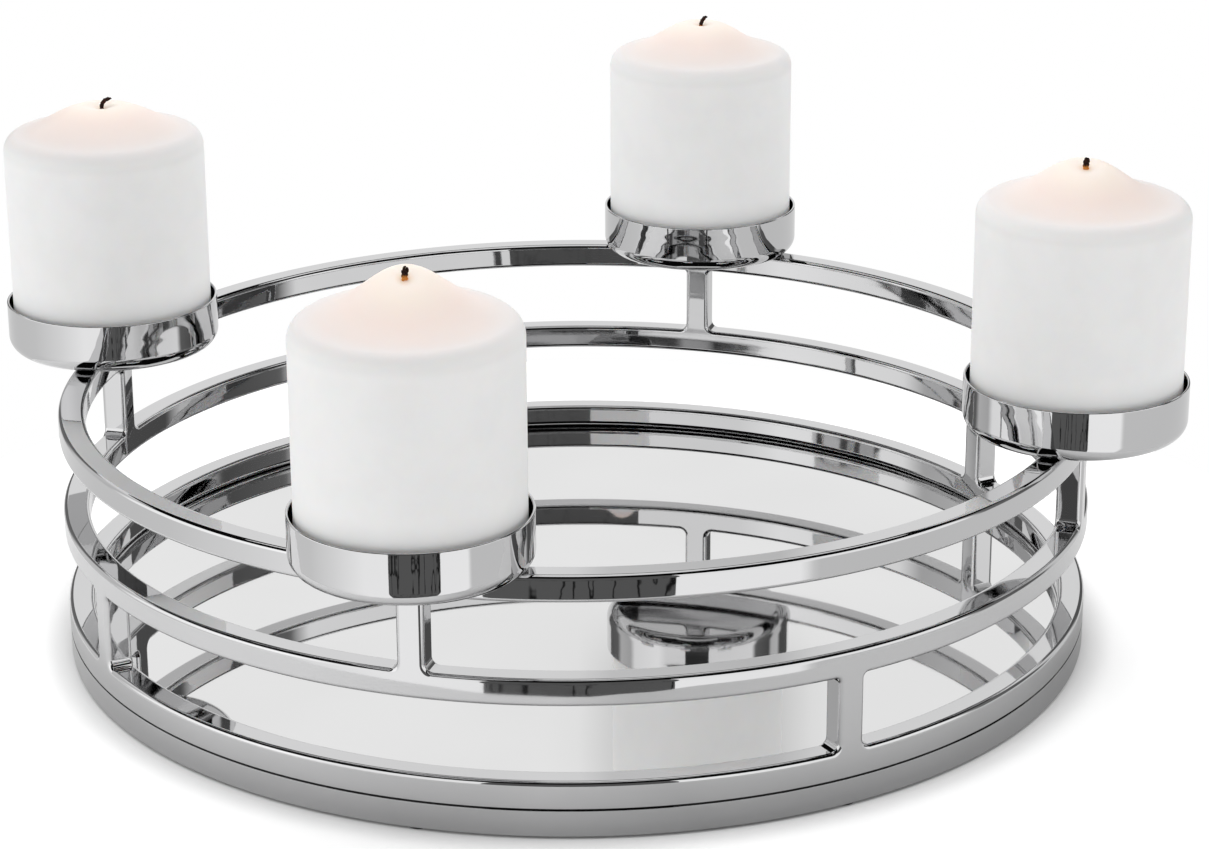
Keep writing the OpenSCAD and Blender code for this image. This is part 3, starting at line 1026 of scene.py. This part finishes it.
def make_card(name, sheets, radiance, seen_by):
    """Studio card that the camera doesn't see, but either metal or light."""
    material, recipe = new_material(name)
    strength = radiance(recipe) if callable(radiance) else radiance
    recipe.surface("ShaderNodeEmission", {"Color": WHITE, "Strength": strength})
    card = make_piece(name, sheets, material)
    card.visible_camera = False
    card.visible_glossy = seen_by == "metal"
    card.visible_diffuse = card.visible_shadow = seen_by == "light"


def by_angle(studio, stops):
    """Radiance of a wall by its angle from the camera's side, from (degrees, radiance)
    stops that run from -180 to 180. The ramp holds half the radiance."""
    def strength(recipe):
        x, y, _ = recipe.split(recipe.place())
        behind = studio.azimuth - 3 * QUARTER_TURN
        turn = (y.maths("ARCTAN2", y, x) - behind) / FULL_TURN
        turn = recipe.node("ShaderNodeMath", {"operation": "FRACT"}, {0: turn})
        grey = recipe.ramp(turn, [(a / 360 + 0.5, g / 2) for a, g in stops])
        return recipe.node("ShaderNodeSeparateColor", {}, {0: grey}) * 2
    return strength


def back_wall_strength(studio):
    """White wall at the back that turns grey high up, behind the back candle as the plate
    mirrors it."""
    def strength(recipe):
        shade = 1 - by_angle(studio, BACK_WALL)(recipe)
        return 1 - shade * recipe.between(recipe.height(), 0.43, 0.51)
    return strength


def curtain_strength(recipe):
    """Dark grey curtain with black, bent folds that are mostly upright, black on top."""
    place, height, grey = recipe.place(), recipe.height(), 0.13
    bend = recipe.noise(place, 18, 2.0)
    folds = recipe.noise(recipe.stretched(place, (12, 12, 7)), 1.0, 2.0)
    wander = folds + (bend - 0.5) * 0.8
    fold = recipe.between(wander, 0.47, 0.50) * recipe.between(wander, 0.51, 0.54, 1, 0)
    fold = fold * recipe.between(height, 0.02, 0.12, 0.12, 0.03)
    return (grey - fold) * recipe.between(height, 0.40, 0.60, 1.0, 0.05)


# Radiance of the walls by degrees from the camera's side.
LOW_WALL = [(-180, 0.80), (-120, 0.80), (-90, 0.86), (-62, 1.05), (-36, 1.28), (44, 1.28),
            (47, 0.80), (180, 0.80)]
HIGH_WALL = [(-153, 0.15), (-132, 0.2), (-124, 0.8), (-106, 0.7), (-98, 1.35), (-58, 1.5),
             (-46, 1.25), (46, 1.25), (80, 1.3), (86, 0.2), (108, 0.12), (113, 0.8),
             (124, 0.85), (130, 0.12), (153, 0.12)]
BACK_WALL = [(-180, 0.97), (-179, 1.0), (169.6, 1.0), (171.5, 0.73), (178.6, 0.80),
             (180, 0.97)]
FAR_WALLS = [(-180, 1.0), (-100, 1.0), (-62, 1.08), (-44, 0.95), (-34, 0.45), (36, 0.45),
             (46, 0.72), (100, 0.72), (135, 1.0), (180, 1.0)]
WALL_RADIUS = 1.0
WALL_FOOT, WALL_TOP = 0.02, 0.62
NEARLY_BLACK = 0.004


def make_cards(studio):
    """Walls round the object: white either side of the camera with a dark curtain between
    them, dark in patches towards the back and almost black above. Then a soft light from
    above, one over the plate, and the mat on the floor that metal shows."""
    def wall(name, first, last, low, high, radiance, radius=WALL_RADIUS, seen_by="metal"):
        sheet = wall_sheet(studio, first, last, radius, low, high)
        make_card(name, [sheet], radiance, seen_by)

    wall("front_curtain", -17.5, 18.0, -0.6, 0.8, curtain_strength, 0.80)
    wall("low_wall", -180, 180, -0.9, WALL_FOOT, by_angle(studio, LOW_WALL))
    wall("high_wall", -153, 153, WALL_FOOT, WALL_TOP, by_angle(studio, HIGH_WALL))
    wall("back_wall", 153, 207, WALL_FOOT, WALL_TOP, back_wall_strength(studio))
    wall("front_ceiling", -110, 110, WALL_TOP, 4.0, NEARLY_BLACK)
    wall("back_ceiling", 110, 250, 0.95, 1.7, NEARLY_BLACK, 1.25)
    wall("far_walls", -180, 180, -0.5, 5.0, by_angle(studio, FAR_WALLS), 5.0, "light")
    make_card("soft_box", [disc_sheet(0.6, 1.3, -1)], 2.0, "light")
    over_plate = float(span("floor_plate")[1][2]) + 0.5 * MM
    make_card("plate_light", [disc_sheet(RING_RADIUS - 12 * MM, over_plate)], 0.95, "light")
    make_floor_mat(studio)


# Greys of the mat from left to right, painted shade that greys it towards the right, and
# their places between the edges of its middle.
MAT_PAINTED_SHADES = [(0, 0.98), (0.45, 0.90), (0.62, 0.70), (1, 0.82)]
MAT_EDGE = 0.28


def make_floor_mat(studio):
    """The floor as metal shows it, with painted shade that greys it towards the right and a
    painted shadow round the base.
    """
    material, recipe = new_material("floor_mat")
    x, y, _ = recipe.split(recipe.place())
    across = x * math.cos(studio.azimuth) + y * math.sin(studio.azimuth)
    tone = recipe.ramp(recipe.between(across, -MAT_EDGE, MAT_EDGE), MAT_PAINTED_SHADES)
    # Painted shadow: the mat is drawn darker near the base.
    close = recipe.between(recipe.reach(), RING_RADIUS, RING_RADIUS + 50 * MM, 0.22, 0)
    recipe.surface("ShaderNodeBsdfDiffuse", {"Color": recipe.blend(close, tone, BLACK)})
    mat = make_piece("floor_mat", [disc_sheet(studio.floor_radius, 0.05 * MM)], material)
    mat.visible_camera = mat.visible_diffuse = mat.visible_shadow = False


def make_camera(scene, studio):
    """Camera at the photographed angle: tilted by roll, tipped up from looking straight
    down, turned by yaw, moved out and up, and carried round the axis by the azimuth."""
    data = bpy.data.cameras.new("camera")
    data.sensor_width = 36
    data.lens = studio.lens
    camera = bpy.data.objects.new("camera", data)
    camera.matrix_world = (
        Matrix.Rotation(studio.azimuth, 4, "Z")
        @ Matrix.Translation((0, -studio.distance, studio.height))
        @ Matrix.Rotation(-studio.yaw, 4, "Z")
        @ Matrix.Rotation(QUARTER_TURN - studio.pitch, 4, "X")
        @ Matrix.Rotation(studio.roll, 4, "Z"))
    scene.collection.objects.link(camera)
    scene.camera = camera


class HOLDER_PT_panel(bpy.types.Panel):
    """Buttons for each piece"""

    bl_label = "Candle Holder"
    bl_idname = "HOLDER_PT_panel"
    bl_space_type = "VIEW_3D"
    bl_region_type = "UI"
    bl_category = "Candle Holder"

    def draw(self, context):
        for step in STEPS:
            self.layout.operator(step.bl_idname)
        for settings in (context.scene.holder_steel, context.scene.holder_candles,
                         context.scene.holder_studio):
            box = self.layout.box()
            for name in type(settings).__annotations__:
                box.prop(settings, name)


STEPS = (HOLDER_OT_studio, HOLDER_OT_welded_frame, HOLDER_OT_base, HOLDER_OT_felt_pads,
         HOLDER_OT_dishes, HOLDER_OT_candles, HOLDER_OT_wicks)
CLASSES = (SteelSettings, CandleSettings, StudioSettings, *STEPS, HOLDER_PT_panel)


def register():
    for item in CLASSES:
        bpy.utils.register_class(item)
    bpy.types.Scene.holder_steel = PointerProperty(type=SteelSettings)
    bpy.types.Scene.holder_candles = PointerProperty(type=CandleSettings)
    bpy.types.Scene.holder_studio = PointerProperty(type=StudioSettings)


def unregister():
    del bpy.types.Scene.holder_studio
    del bpy.types.Scene.holder_candles
    del bpy.types.Scene.holder_steel
    for item in reversed(CLASSES):
        bpy.utils.unregister_class(item)


def main():
    register()
    bpy.ops.holder.studio()
    bpy.ops.holder.welded_frame()
    bpy.ops.holder.base()
    bpy.ops.holder.felt_pads()
    bpy.ops.holder.dishes()
    bpy.ops.holder.candles()
    bpy.ops.holder.wicks()


if __name__ == "__main__":
    main()
